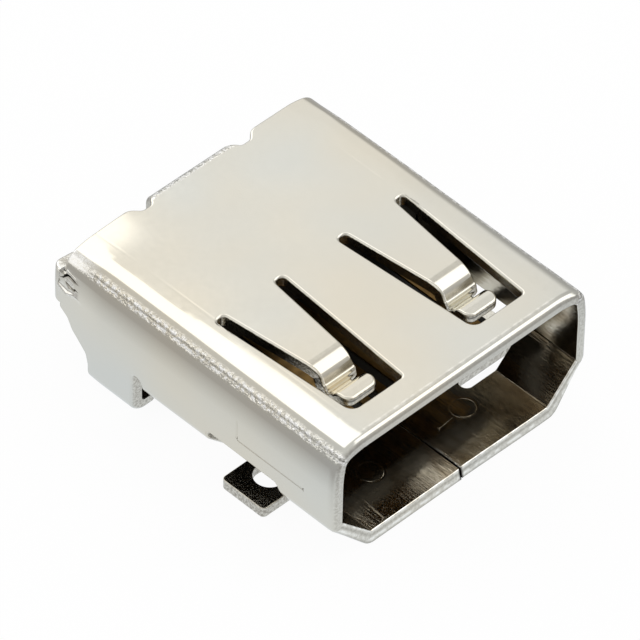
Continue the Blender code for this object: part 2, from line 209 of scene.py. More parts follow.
RIPPLES = [  # height, steps across and behind, and start of each wave in the nearly flat sheet
    (0.0018, 1.10, 0.85, 0.3),
    (0.0014, -0.90, 1.60, 2.1),
    (0.0007, 2.40, -1.10, 4.0),
    (0.0004, 3.10, 3.70, 1.2),
]
DROOP = 0.045  # how far the rear left corner of the roof hangs, and where it starts and ends
DROOP_ACROSS = (1.5, 2.9)
DROOP_BEHIND = (6.0, 7.2)
SEAM_STEP = 0.03
SEAM_STEP_DEPTH = 1.6
RINGS = [(-1.23, 1.05), (1.14, 1.05)]  # round marks on the floor's inner face
RING_RADIUS = 0.25
RING_GROOVE = 0.03
RING_DEPTH = 0.0060
COIN_MARKS = [(0.50, 0.022, 0.012), (0.555, 0.03, -0.012)]  # along the hook, half-width and height
WALL_LINES = [  # on the left wall: (distance behind the rim, height) of each end, half-width and depth
    ((0.81, 1.42), (2.465, 1.42), 0.022, 0.010),
    ((2.49, 1.465), (2.49, 1.88), 0.028, 0.024),
    ((7.10, 2.16), (7.06, 2.21), 0.022, 0.026),
    ((7.06, 2.21), (6.99, 2.27), 0.030, 0.026),
    ((6.99, 2.27), (6.92, 2.27), 0.036, 0.026),
    ((6.92, 2.27), (6.80, 2.245), 0.036, 0.026),
    ((7.00, 2.09), (6.88, 2.055), 0.028, 0.026),
    ((6.88, 2.055), (6.80, 2.045), 0.032, 0.026),
    ((6.80, 2.045), (6.75, 2.09), 0.026, 0.026),
    ((7.00, 2.37), (6.78, 2.33), 0.028, -0.014),
    ((7.20, 1.94), (6.96, 1.89), 0.070, -0.030),
    ((6.96, 1.89), (6.74, 1.95), 0.070, -0.030),
    ((6.97, 2.17), (6.86, 2.15), 0.036, -0.012),
]
FLOOR_LINES = [  # on the floor's inner face: (across, distance behind the rim) of each end, half-width and height
    ((-1.82, 0.61), (-1.86, 0.09), 0.020, 0.008),
    ((0.46, 0.98), (0.80, 1.01), 0.018, 0.004),
]

# Floor, as the camera and the metal see it; distances from the part's outline
FLOOR_WHITE_SHARE = 0.95
SHADE_INSIDE = -0.3
SHADE_OUTSIDE = 0.0
FLOOR_NEAR = 1.0
FLOOR_FAR = 3.5
FLOOR_IN_METAL = (0.86, 0.90, 0.95, 1.0)
FLOOR_EDGE_IN_METAL = (0.47, 0.47, 0.48, 1.0)

# Tent round the part, as the metal mirrors it: the level at each height of the view, and its lit panels
TENT = [(-1.0, 0.60), (-0.1, 0.445), (0.08, 0.445), (0.3, 0.62), (0.6, 0.74), (1.0, 0.80)]
PANELS = [
    # low x, high x, low y, high y and level, on the half sphere above the horizon
    (-1.1, -0.40, -0.2, 1.1, 1.15),
    (-0.01, 0.475, 0.30, 1.1, 1.75),
    (0.25, 0.85, -0.62, 0.18, 1.75),
    (0.475, 0.80, 0.45, 0.85, 1.02),
]
PANEL_BOTTOM = 0.13
PANEL_SOFT = 0.02

# Camera, solved from the photograph
CAMERA_PLACE = (-76.895, -72.619, 109.610)
CAMERA_RIGHT = (0.7152212, -0.6987052, 0.0164226)
CAMERA_UP = (0.4858324, 0.5139339, 0.7069928)
CAMERA_BACK = (-0.5024196, -0.4976776, 0.7070301)
CAMERA_LENS = 473.5
CAMERA_SHIFT = (-0.0059, 0.0044)

# Sizes that follow from the ones above
HALF = SHEET / 2
SIDE = SHELL_WIDTH / 2 - HALF
ROOF = SHELL_HEIGHT - HALF
INNER_HALF = SHELL_WIDTH / 2 - SHEET
CORNER_X = INNER_HALF - LOW_CORNER + HALF * math.tan(math.radians(22.5))
CORNER_Z = SIDE - CORNER_X + HALF
LOW_TANGENT = LOW_BEND * math.tan(math.radians(22.5))
WALL_END = CORNER_Z + LOW_TANGENT
FLOOR_START = CORNER_X - LOW_TANGENT
SPRING_X = SPRING_PITCH / 2


def arc(radius, degrees):
    """One bend of a fold, as its length and the angle that it turns through."""
    return radius * math.radians(abs(degrees)), math.radians(degrees)


def run(length):
    """One straight stretch of a fold, as its length and a turn of zero."""
    return length, 0.0


def walk(steps, length, lift):
    """The point after this length of a fold that starts level and goes out, raised off it by lift."""
    out, up, heading = 0.0, 0.0, 0.0
    for step, turn in steps:
        part = min(length, step)
        if turn:
            radius = step / turn
            end = heading + part / radius
            out += radius * (math.sin(end) - math.sin(heading))
            up -= radius * (math.cos(end) - math.cos(heading))
            heading = end
        else:
            out += part * math.cos(heading)
            up += part * math.sin(heading)
        length -= part
        if length <= 0:
            break
    return out - lift * math.sin(heading), up + lift * math.cos(heading)


def bend_lines(steps, start=0.0):
    """The lengths along a fold at which its bends begin, end and are divided."""
    lines = []
    for step, turn in steps:
        if turn:
            parts = max(2, math.ceil(abs(math.degrees(turn)) / BEND_STEP))
            lines += [start + step * i / parts for i in range(parts + 1)]
        start += step
    return lines


HOOK = [
    arc(SAG_RADIUS, -16),
    run(SAG_RUN),
    arc(RIDGE_RADIUS, -42),
    run(STEEP_RUN),
    arc(STEP_RADIUS, STEP_TURN),
    arc(RIDGE_RADIUS, -26 - STEP_TURN),
    run(TROUGH_RUN),
    arc(TROUGH_RADIUS, 148),
    run(RISE_RUN),
    arc(RIDGE_RADIUS, -65.6),
    run(LIP_RUN),
]
HOOK_LENGTH = sum(length for length, _ in HOOK)
TOP = [
    (TOP_EASE_IN, -math.radians(TOP_EASE_IN_TURN)),
    arc(TOP_BEND, TOP_EASE_IN_TURN + TOP_EASE_OUT_TURN - 90),
    (TOP_EASE_OUT, -math.radians(TOP_EASE_OUT_TURN)),
]
TOP_LENGTH = sum(length for length, _ in TOP)
TOP_OUT, TOP_UP = walk(TOP, TOP_LENGTH, 0.0)
S_ROOF = SIDE - TOP_OUT
S_WALL = S_ROOF + TOP_LENGTH
WALL_TOP = ROOF + TOP_UP
S_WALL_END = S_WALL + WALL_TOP - WALL_END
S_SLOPE = S_WALL_END + LOW_BEND * math.pi / 4
S_SLOPE_END = S_SLOPE + math.dist((CORNER_X, HALF), (SIDE, CORNER_Z)) - 2 * LOW_TANGENT
S_FLOOR = S_SLOPE_END + LOW_BEND * math.pi / 4
S_SEAM = S_FLOOR + FLOOR_START - SEAM_GAP / 2
S_FOOT = S_WALL + WALL_TOP - HALF - FOOT_BEND
S_FOOT_FLAT = S_FOOT + FOOT_BEND * math.pi / 2
S_FOOT_END = S_FOOT_FLAT + SIDE - FOOT_BEND - FOOT_REACH
SECTION = [
    run(S_ROOF),
    *TOP,
    run(S_WALL_END - S_WALL),
    arc(LOW_BEND, -45),
    run(S_SLOPE_END - S_SLOPE),
    arc(LOW_BEND, -45),
    run(S_SEAM - S_FLOOR),
]
LEG = [
    run(S_ROOF),
    *TOP,
    run(S_FOOT - S_WALL),
    arc(FOOT_BEND, -90),
    run(S_FOOT_END - S_FOOT_FLAT),
]
REAR_FLAP = [arc(REAR_BEND, -90), run(ROOF - REAR_BEND - FLAP_BOTTOM)]
EAR = [arc(REAR_BEND, -90), run(EAR_REACH)]


def rounded(corners):
    """An outline through corners, each (u, v, radius), with an arc at each corner that has a radius."""
    points = []
    for i, (u, v, radius) in enumerate(corners):
        before = corners[i - 1]
        after = corners[(i + 1) % len(corners)]
        if not radius:
            points.append((u, v))
            continue
        a = math.atan2(before[1] - v, before[0] - u)
        b = math.atan2(after[1] - v, after[0] - u)
        between = (b - a + math.pi) % (2 * math.pi) - math.pi
        back = radius / math.tan(abs(between) / 2)
        reach = radius / math.sin(abs(between) / 2)
        middle = a + between / 2
        centre = (u + reach * math.cos(middle), v + reach * math.sin(middle))
        first = (u + back * math.cos(a) - centre[0], v + back * math.sin(a) - centre[1])
        start = math.atan2(first[1], first[0])
        sweep = -math.copysign(math.pi - abs(between), between)
        parts = max(2, math.ceil(abs(sweep) / ARC_STEP))
        for step in range(parts + 1):
            angle = start + sweep * step / parts
            points.append((centre[0] + radius * math.cos(angle), centre[1] + radius * math.sin(angle)))
    return points


def hook_v(length):
    """Where a length along the hook lies in the flat sheet."""
    return HOOK_ROOT - length * (HOOK_ROOT - HOOK_TIP) / HOOK_LENGTH


def hook_length(v):
    """The length along the hook at a place in the flat sheet."""
    return (HOOK_ROOT - v) * HOOK_LENGTH / (HOOK_ROOT - HOOK_TIP)


def wall_s(height):
    """Where a height on the side wall lies in the flat sheet."""
    return S_WALL + WALL_TOP - height


def floor_s(u):
    """Where a distance from the middle of the floor lies in the flat sheet."""
    return S_FLOOR + FLOOR_START - u


def shell_half_outline():
    """The right half of the flat sheet's edge, from the middle of the flap to the front seam corner."""
    notch_inner = FLAP_HALF + NOTCH_SLANT
    notch_outer = notch_inner + NOTCH_WIDTH
    notch_edge = notch_outer + TOP_DEPTH - NOTCH_BOTTOM
    flap_end = FLAP_BEND_START + REAR_BEND * math.pi / 2 + ROOF - REAR_BEND - FLAP_BOTTOM
    ear_end = EAR_START + REAR_BEND * math.pi / 2 + EAR_REACH
    ear_top = wall_s(EAR_TOP)
    ear_bottom = wall_s(EAR_BOTTOM)
    notch_s = S_WALL_END - LEG_NOTCH_ABOVE_BEND
    notch_round = LEG_NOTCH * ROUND_END
    return [
        (FLAP_HALF, flap_end, FLAP_CORNER),
        (FLAP_HALF, NOTCH_BOTTOM + NOTCH_SLANT, NOTCH_CORNER),
        (notch_inner, NOTCH_BOTTOM, NOTCH_CORNER),
        (notch_outer, NOTCH_BOTTOM, NOTCH_CORNER),
        (notch_edge, TOP_DEPTH, NOTCH_TOP_CORNER),
        (ear_top - EAR_SLIT, TOP_DEPTH, EAR_SLIT_ROUND),
        (ear_top - EAR_SLIT, EAR_SLIT_FRONT, EAR_SLIT_ROUND),
        (ear_top, EAR_SLIT_FRONT, EAR_SLIT_ROUND),
        (ear_top, ear_end, EAR_TOP_ROUND),
        (ear_bottom, ear_end, EAR_BOTTOM_ROUND),
        (ear_bottom, EAR_START, 0),
        *((wall_s(height), v, radius) for height, v, radius in LEG_EDGE),
        (S_FOOT_END, LEG_REAR, FOOT_CORNER),
        (S_FOOT_END, LEG_FRONT, FOOT_CORNER),
        (notch_s, LEG_FRONT, notch_round),
        (notch_s, LEG_FRONT - LEG_NOTCH, notch_round),
        (S_SLOPE, LEG_FRONT - LEG_NOTCH, 0),
        (S_SLOPE + FLOOR_CORNER, FLOOR_DEPTH, FLOOR_CORNER_ROUND),
        (S_SEAM, FLOOR_DEPTH, 0),
        (S_SEAM, 0.0, 0),
    ]


def tab_cutout(tab_front):
    """The hole that frees a solder tab: two relief slots, joined by the cut-out in the wall."""
    inner = floor_s(RELIEF_INNER_X)
    front_round = (tab_front - RELIEF_FRONT) * ROUND_END
    rear_round = (RELIEF_REAR - TAB_REAR) * ROUND_END
    tab_end = floor_s(TAB_REACH)
    top = wall_s(CUTOUT_TOP)
    return [
        (inner, RELIEF_FRONT, front_round),
        (S_SLOPE, RELIEF_FRONT, 0),
        (top, RELIEF_FRONT + CUTOUT_SLANT, CUTOUT_ROUND),
        (top, RELIEF_REAR, CUTOUT_ROUND),
        (S_SLOPE, RELIEF_REAR, 0),
        (inner, RELIEF_REAR, rear_round),
        (inner, TAB_REAR, rear_round),
        (tab_end, TAB_REAR, TAB_CORNER),
        (tab_end, tab_front, TAB_CORNER),
        (inner, tab_front, front_round),
    ]


def window(centre):
    """The hole round one latch spring, whose outline is the spring's own edge."""
    slot_round = SLOT_WIDTH * ROUND_END
    spring_rear = WINDOW_HALF_REAR - SLOT_WIDTH
    right = [(spring_rear, SLOT_END, slot_round)]
    right += [(width, hook_v(length), radius) for length, width, radius in HOOK_WIDTHS]
    right += [(HOOK_WIDTHS[-1][1], HOOK_TIP, HOOK_TIP_ROUND)]
    left = [(-u, v, radius) for u, v, radius in reversed(right)]
    outer = [
        (-WINDOW_HALF_REAR, SLOT_END, slot_round),
        (-WINDOW_HALF_FRONT, WINDOW_FRONT, WINDOW_ROUND),
        (WINDOW_HALF_FRONT, WINDOW_FRONT, WINDOW_SHARP),
        (WINDOW_HALF_REAR, SLOT_END, slot_round),
    ]
    return [(centre + u, v, radius) for u, v, radius in right + left + outer]


def circle(u, v, radius, count=48):
    """A round outline."""
    angles = [2 * math.pi * i / count for i in range(count)]
    return [(u + radius * math.cos(angle), v + radius * math.sin(angle)) for angle in angles]


def mirrored(corners):
    """The same outline on the other side of the middle, going round the same way."""
    return [(-u, v, radius) for u, v, radius in reversed(corners)]


def ease(low, high, value):
    """0 below low, 1 above high and smooth between them."""
    part = min(max((value - low) / (high - low), 0.0), 1.0)
    return part * part * (3 - 2 * part)


def groove(distance, half, depth):
    """The depth of a round-bottomed groove at a distance from its middle line."""
    return depth * (1 - ease(0.0, half, distance)) if distance < half else 0.0


def segment_distance(s, v, a, b):
    """How far a point of the flat sheet is from a straight mark."""
    along = (b[0] - a[0], b[1] - a[1])
    share = ((s - a[0]) * along[0] + (v - a[1]) * along[1]) / (along[0] ** 2 + along[1] ** 2)
    share = min(max(share, 0.0), 1.0)
    return math.dist((s, v), (a[0] + share * along[0], a[1] + share * along[1]))


OUTER_LINES = [((-wall_s(z), v), (-wall_s(y), w), half, depth) for (v, z), (w, y), half, depth in WALL_LINES]
INNER_LINES = [
    ((math.copysign(floor_s(abs(x)), x), v), (math.copysign(floor_s(abs(y)), y), w), half, height)
    for (x, v), (y, w), half, height in FLOOR_LINES
]
INNER_RINGS = [(math.copysign(floor_s(abs(x)), x), v) for x, v in RINGS]


def lift_of(s, v, lift):
    """The lift with the sheet's waviness and its pressed marks added."""
    wave = sum(height * math.sin(a * s + b * v + start) for height, a, b, start in RIPPLES)
    wave -= DROOP * ease(*DROOP_ACROSS, -s) * ease(*DROOP_BEHIND, v)
    if lift > 0:
        pressed = CREASE_DEPTH * (0.6 + 0.4 * math.sin(CREASE_BEAT * v + s))
        lift -= groove(abs(abs(s) - S_ROOF + CREASE_INSET), CREASE_HALF, pressed)
        for a, b, half, depth in OUTER_LINES:
            lift -= groove(segment_distance(s, v, a, b), half, depth)
        if abs(abs(s) - SPRING_X) < HOOK_WIDTHS[0][1] + EDGE and HOOK_TIP < v < HOOK_ROOT:
            for length, half, height in COIN_MARKS:
                lift += groove(abs(hook_length(v) - length), half, height)
    else:
        for centre in INNER_RINGS:
            lift += groove(abs(math.dist((s, v), centre) - RING_RADIUS), RING_GROOVE, RING_DEPTH)
        for a, b, half, height in INNER_LINES:
            lift -= groove(segment_distance(s, v, a, b), half, height)
    return lift + wave


def under(s):
    """1 on the floor, 0 on the roof and the walls, and smooth round the low corner between them."""
    return ease(S_SLOPE, S_FLOOR, abs(s))


def band_delay(v):
    """How much further out the roof starts to fall at this distance behind the rim."""
    grown = BAND_LATE * ease(1.5, 5.5, v) * (1 - ease(6.2, 6.9, v))
    return grown + BAND_WANDER * (1 + math.sin(3.1 * v))


def fold_shell(s, v, lift):
    """Where a point of the flat sheet goes when the shell is folded: across, behind the rim, up."""
    lift = lift_of(s, v, lift)
    side = math.copysign(1.0, s)
    s = abs(s)
    if s < FLAP_HALF + NOTCH_SLANT + EDGE and v > FLAP_BEND_START:
        back, up = walk(REAR_FLAP, v - FLAP_BEND_START, lift)
        return side * s, FLAP_BEND_START + back, ROOF + up
    if abs(s - SPRING_X) < HOOK_WIDTHS[0][1] + EDGE and HOOK_TIP - EDGE < v < HOOK_ROOT:
        forward, up = walk(HOOK, hook_length(v), lift)
        return side * s, HOOK_ROOT - forward, ROOF + up
    if s > wall_s(EAR_TOP) - EDGE and v > EAR_START:
        back, outward = walk(EAR, v - EAR_START, lift)
        across, up = walk(LEG, s, outward)
        return side * across, EAR_START + back, ROOF + up
    tab_front = RIGHT_TAB_FRONT if side > 0 else TAB_FRONT
    if S_WALL_END < s < S_FLOOR and tab_front - EDGE < v < TAB_REAR + EDGE:
        return side * (FLOOR_START + S_FLOOR - s), v, HALF - lift
    late = band_delay(v)
    section = LEG if v > LEG_FRONT - EDGE else SECTION
    across, up = walk([run(S_ROOF + late), (TOP_EASE_IN - late, TOP[0][1]), *section[2:]], s, lift)
    up += late * math.sin(TOP[0][1] / 2) * ease(S_ROOF + TOP_EASE_IN, S_WALL, s)
    if side > 0:
        near_seam = ease(S_FLOOR, S_SEAM, s)
        up += SEAM_STEP * near_seam * (1 - ease(0.0, SEAM_STEP_DEPTH, v))
    forward = UNDER_LEAN * under(s) * (1 - ease(0.0, 2 * RIM_BAND, v)) * (lift + HALF) / SHEET
    return side * across, v - forward, ROOF + up


def bend_degrees(s):
    """How far round the top bend a place is."""
    return TOP_EASE_IN_TURN + math.degrees((abs(s) - S_ROOF - TOP_EASE_IN) / TOP_BEND)


def crazing_and_highlight_of(s, v):
    """1 where the sheet is bent hard, which roughens its plating, and 0 where it is flat; there the crazing is also
    painted white as highlights.
    """
    degrees = bend_degrees(s)
    crazed = max(strength * (1 - ease(0.0, half, abs(degrees - row))) for row, half, strength in PEEL_ROWS)
    start, end, strength = FLAP_PEEL
    if abs(s) < FLAP_HALF and start < v < end:
        return strength
    return crazed * (1 - ease(*PEEL_END, v))


def corner_highlight_of(s, v, lift):
    """1 where the rear left corner of the roof is painted white as a highlight, and 0 elsewhere."""
    if s > 0 or lift < 0:
        return 0.0
    degrees = bend_degrees(s)
    start, full, fading, end = CORNER_HIGHLIGHT_ROUND
    return CORNER_HIGHLIGHT_STRENGTH * ease(*CORNER_HIGHLIGHT_BEHIND, v) * ease(start, full, degrees) * (1 - ease(fading, end, degrees))


def at_lip(s, v):
    """Whether a place is on the front end of a latch spring."""
    return abs(abs(s) - SPRING_X) < HOOK_WIDTHS[-1][1] + EDGE and HOOK_TIP - EDGE < v < HOOK_TIP + 0.2


def painted_shade_of(s, v, lift, flat):
    """Painted shade: 1 in the seam and in the torn slits beside the ears, less on lines along the floor's rim, under a
    spring's lip and between the crazed rows, and 0 elsewhere.
    """
    cut = math.hypot(flat[0], flat[1])
    if abs(s) > S_SEAM - ROLL / 2 and cut > 0.8:
        return 1.0
    if v < 0.5 * RIM_BAND and cut > 0.3 and abs(s) > S_SLOPE:
        return RIM_DARK * max(1 - ease(0.005, 0.035, abs(lift + 0.04)), ease(0.06, 0.10, lift))
    if at_lip(s, v) and cut > 0.5:
        return LIP_DARK * max(1 - ease(0.0, 0.04, abs(lift - 0.05)), ease(0.03, 0.11, -lift))
    if lift < 0:
        return 0.0
    row, half, found = PEEL_LINE
    found *= (1 - ease(0.0, half, abs(bend_degrees(s) - row))) * (1 - ease(*PEEL_END, v))
    for a, b, half, depth in OUTER_LINES:
        if depth > SLIT_DEPTH:
            found = max(found, 1 - ease(0.4, 0.9, segment_distance(s, v, a, b) / half))
    return found


def on_tab(s, v):
    """Whether a place is on a solder tab, outside the wall."""
    return S_WALL_END < abs(s) < floor_s(SIDE - LOW_CORNER) and RIGHT_TAB_FRONT <= v <= TAB_REAR


def sheared_of(s, v, flat):
    """How rough an edge is: 1 where it was cut, less on the mouth's rim, 0 on the faces."""
    cut = ease(0.5, 1.0, math.hypot(flat[0], flat[1]))
    smooth = RIM_SMOOTH if abs(s) < S_ROOF else RIM_SMOOTH * 0.6
    return cut * (1 - smooth * (1 - ease(0.0, 2 * RIM_BAND, v))) + TAB_DULL * on_tab(s, v)


def inner_of(s, v, lift, flat):
    """1 on the faces inside the socket, which are painted darker and browner in patches as shade, a little rougher and
    finely streaked, and 0 elsewhere.
    """
    return 0.0 if lift > 0 or on_tab(s, v) else 1 - ease(0.1, 0.6, math.hypot(flat[0], flat[1]))


def painted_highlight_of(s, v, lift, flat):
    """1 where a highlight is painted: lines on the mouth's rim, the seam's edge, the torn ear, specks behind the roof's
    rim and the raised lines on the wall.
    """
    cut = math.hypot(flat[0], flat[1])
    if v < 0.5 * RIM_BAND and cut > 0.3 and abs(s) > S_SLOPE:
        return max(1 - ease(*HIGHLIGHT_HALF, abs(lift - at)) for at in HIGHLIGHT_LIFTS)
    if s > S_SEAM - ROLL / 2 and lift < -HALF / 2 and cut < 0.8:
        return 1.0
    if abs(wall_s(EAR_TOP) - abs(s)) < ROLL and v > EAR_SLIT_FRONT and cut > 0.2:
        return 1.0
    if abs(s) < S_ROOF and lift > 0 and cut < 0.1 and abs(v - RIM_SPECKS) < 0.02:
        return 0.5
    found = 0.0
    if lift > 0:
        for a, b, half, depth in OUTER_LINES:
            if depth < 0:
                found = max(found, 1 - ease(0.5, 1.5, segment_distance(s, v, a, b) / half))
    return found


def inside(points, loops):
    """Which points lie inside the outlines, by counting crossings."""
    found = np.zeros(len(points), bool)
    u, v = points[:, 0], points[:, 1]
    for loop in loops:
        loop = np.array(loop)
        for (u0, v0), (u1, v1) in zip(loop, np.roll(loop, -1, axis=0)):
            if v0 == v1:
                continue
            crosses = (v0 > v) != (v1 > v)
            found ^= crosses & (u < (u1 - u0) * (v - v0) / (v1 - v0) + u0)
    return found


def edge_distance(points, loops):
    """How far each point is from the nearest outline."""
    nearest = np.full(len(points), np.inf)
    for loop in loops:
        loop = np.array(loop)
        for a, b in zip(loop, np.roll(loop, -1, axis=0)):
            along = b - a
            share = np.clip(((points - a) @ along) / max(along @ along, 1e-12), 0, 1)
            nearest = np.minimum(nearest, np.linalg.norm(points - a - share[:, None] * along, axis=1))
    return nearest


def divided(line):
    """The same line with more points on it, so that it follows the sheet's ripples."""
    points = [line[0]]
    for a, b in zip(line, line[1:]):
        parts = math.ceil(math.dist(a, b) / MARK_STEP)
        for i in range(1, parts + 1):
            points.append((a[0] + (b[0] - a[0]) * i / parts, a[1] + (b[1] - a[1]) * i / parts))
    return points


def clear_marks(marks, loops):
    """The marks with more points, but without those that would lie on the rolled edges; their ends stay."""
    lines = [divided(mark) for mark in marks]
    spots = np.array([point for line in lines for point in line])
    clear = edge_distance(spots, loops) > MARK_KEEP_OFF
    clear &= (spots[:, 1] > RIM_KEEP_OFF) | (np.abs(spots[:, 0]) > S_SLOPE)
    kept = []
    start = 0
    for line in lines:
        inner = [point for i, point in enumerate(line[1:-1], start + 1) if clear[i]]
        kept.append([line[0], *inner, line[-1]])
        start += len(line)
    return kept


def flat_triangles(loops, marks):
    """Triangles of the flat sheet between its outlines, with the marks as edges: points and corner numbers."""
    points, edges = [], []
    loops = [divided(loop + loop[:1])[:-1] for loop in loops]
    for loop in loops:
        start = len(points)
        points += loop
        edges += [(start + i, start + (i + 1) % len(loop)) for i in range(len(loop))]
    for mark in clear_marks(marks, loops):
        start = len(points)
        points += mark
        edges += [(start + i, start + i + 1) for i in range(len(mark) - 1)]
    reach = max(abs(u) for u, _ in loops[0])
    depth = max(v for _, v in loops[0])
    across = np.arange(-reach, reach, GRID)
    behind = np.arange(GRID / 2, depth, GRID)
    grid = np.array([(u + 0.5 * GRID * (i % 2), v) for i, v in enumerate(behind) for u in across])
    grid = grid[inside(grid, loops) & (edge_distance(grid, loops) > GRID_KEEP_OFF)]
    points += [tuple(point) for point in grid]
    made = delaunay_2d_cdt([Vector(point) for point in points], edges, [], 0, 1e-5)
    corners = np.array([tuple(point) for point in made[0]])
    triangles = np.array([face for face in made[2] if len(face) == 3])
    middles = corners[triangles].mean(axis=1)
    triangles = triangles[inside(middles, loops)]
    a, b, c = (corners[triangles[:, i]] for i in range(3))
    area = (b[:, 0] - a[:, 0]) * (c[:, 1] - a[:, 1]) - (b[:, 1] - a[:, 1]) * (c[:, 0] - a[:, 0])
    triangles[area < 0] = triangles[area < 0][:, ::-1]
    return corners, triangles


def outward_normals(corners, triangles):
    """The sheet's edge: each (corner, next corner) pair, and the direction out of the sheet at each corner."""
    pairs = {(a, b) for t in triangles for a, b in ((t[0], t[1]), (t[1], t[2]), (t[2], t[0]))}
    border = [(a, b) for a, b in pairs if (b, a) not in pairs]
    normals = {}
    for a, b in border:
        along = corners[b] - corners[a]
        out = np.array((along[1], -along[0])) / max(np.linalg.norm(along), 1e-12)
        normals.setdefault(a, []).append(out)
        normals.setdefault(b, []).append(out)
    joined = {}
    for corner, outs in normals.items():
        total = np.sum(outs, axis=0)
        unit = total / np.linalg.norm(total)
        joined[corner] = unit / max(unit @ outs[0], 0.5), unit
    return sorted(border), joined


def edge_rings(s, v):
    """The sheared edge from the outer face to the inner: (inset, lift, part outward, part up) of each ring."""
    at_rim = 1 - ease(0.0, RIM_BAND, v)
    rounded_rim = at_rim * (1 - under(s))
    sharp_rim = at_rim * under(s)
    at_leg = abs(v - LEG_FRONT + LEG_NOTCH / 2) < LEG_NOTCH and abs(s) > wall_s(CUTOUT_TOP)
    top = (LEG_ROLL if at_leg else ROLL) * (1 - at_rim) + RIM_ROLL * rounded_rim + UNDER_ROLL * sharp_rim
    low = LIP_UNDER if at_lip(s, v) else BURR
    low = low * (1 - at_rim) + RIM_COIN * rounded_rim + UNDER_COIN * sharp_rim
    turn = math.radians(RIM_EASE_TURN) * rounded_rim
    fall = RIM_EASE * rounded_rim * math.sin(turn / 2)
    start = RIM_EASE * rounded_rim + top * (1 - math.sin(turn))
    rings = [(start, HALF, 0.0, 1.0)]
    for angle in np.linspace(turn, math.pi / 2, EDGE_STEPS):
        drop = fall + top * (math.cos(turn) - math.cos(angle))
        rings.append((top * (1 - math.sin(angle)), HALF - drop, math.sin(angle), math.cos(angle)))
    for lift in np.linspace(rings[-1][1], low - HALF, FACE_RINGS + 2)[1:-1]:
        rings.append((0.0, lift, 1.0, 0.0))
    for angle in np.linspace(math.pi / 2, math.pi, EDGE_STEPS):
        rings.append((low * (1 - math.sin(angle)), low * (1 + math.cos(angle)) - HALF, math.sin(angle), math.cos(angle)))
    return rings


def folded_normal(s, v, lift, flat):
    """A flat normal carried through the fold, by how the fold moves three short steps."""
    step = 2e-4
    here = np.array(fold_shell(s, v, lift))
    along = (np.array(fold_shell(s + step, v, lift)) - here) / step
    behind = (np.array(fold_shell(s, v + step, lift)) - here) / step
    out = (np.array(fold_shell(s, v, lift + step)) - here) / step
    normal = flat[0] * np.cross(behind, out) + flat[1] * np.cross(out, along) + flat[2] * np.cross(along, behind)
    return normal / max(np.linalg.norm(normal), 1e-12)


def shell_marks():
    """Lines that the flat sheet's triangles follow: its bends, its rings and its score lines."""
    marks = []
    front, rear = -0.1, SLOT_END + 5
    for side in (-1, 1):
        for offset in (-CREASE_HALF, -CREASE_HALF / 2, 0.0, CREASE_HALF / 2, CREASE_HALF):
            s = S_ROOF - CREASE_INSET + offset
            marks.append([(side * s, front), (side * s, rear)])
        for s in bend_lines(SECTION):
            marks.append([(side * s, front), (side * s, LEG_FRONT - LEG_NOTCH / 2)])
        for s in bend_lines(LEG):
            marks.append([(side * s, LEG_FRONT - LEG_NOTCH / 2), (side * s, rear)])
        reach = HOOK_WIDTHS[0][1] + 0.1
        coined = [at + half * part for at, half, _ in COIN_MARKS for part in MARK_PARTS]
        for length in bend_lines(HOOK) + coined:
            v = hook_v(length)
            marks.append([(side * SPRING_X - reach, v), (side * SPRING_X + reach, v)])
        for v in bend_lines(EAR, EAR_START):
            marks.append([(side * (wall_s(EAR_TOP) - EDGE), v), (side * (wall_s(EAR_BOTTOM) + EDGE), v)])
        marks.append([(side * (S_SEAM - ROLL - EDGE), front), (side * (S_SEAM - ROLL - EDGE), rear)])
    marks.append([(-S_ROOF, RIM_KEEP_OFF + EDGE), (S_ROOF, RIM_KEEP_OFF + EDGE)])
    for v in bend_lines(REAR_FLAP, FLAP_BEND_START):
        marks.append([(-FLAP_HALF - NOTCH_SLANT, v), (FLAP_HALF + NOTCH_SLANT, v)])
    for u, v in INNER_RINGS:
        for part in MARK_PARTS:
            ring = circle(u, v, RING_RADIUS + part * RING_GROOVE)
            marks.append(ring + ring[:1])
    for a, b, half, _ in OUTER_LINES + INNER_LINES:
        length = math.dist(a, b)
        du, dv = (half * (a[1] - b[1]) / length, half * (b[0] - a[0]) / length)
        for part in MARK_PARTS:
            marks.append([(a[0] + part * du, a[1] + part * dv), (b[0] + part * du, b[1] + part * dv)])
    return marks


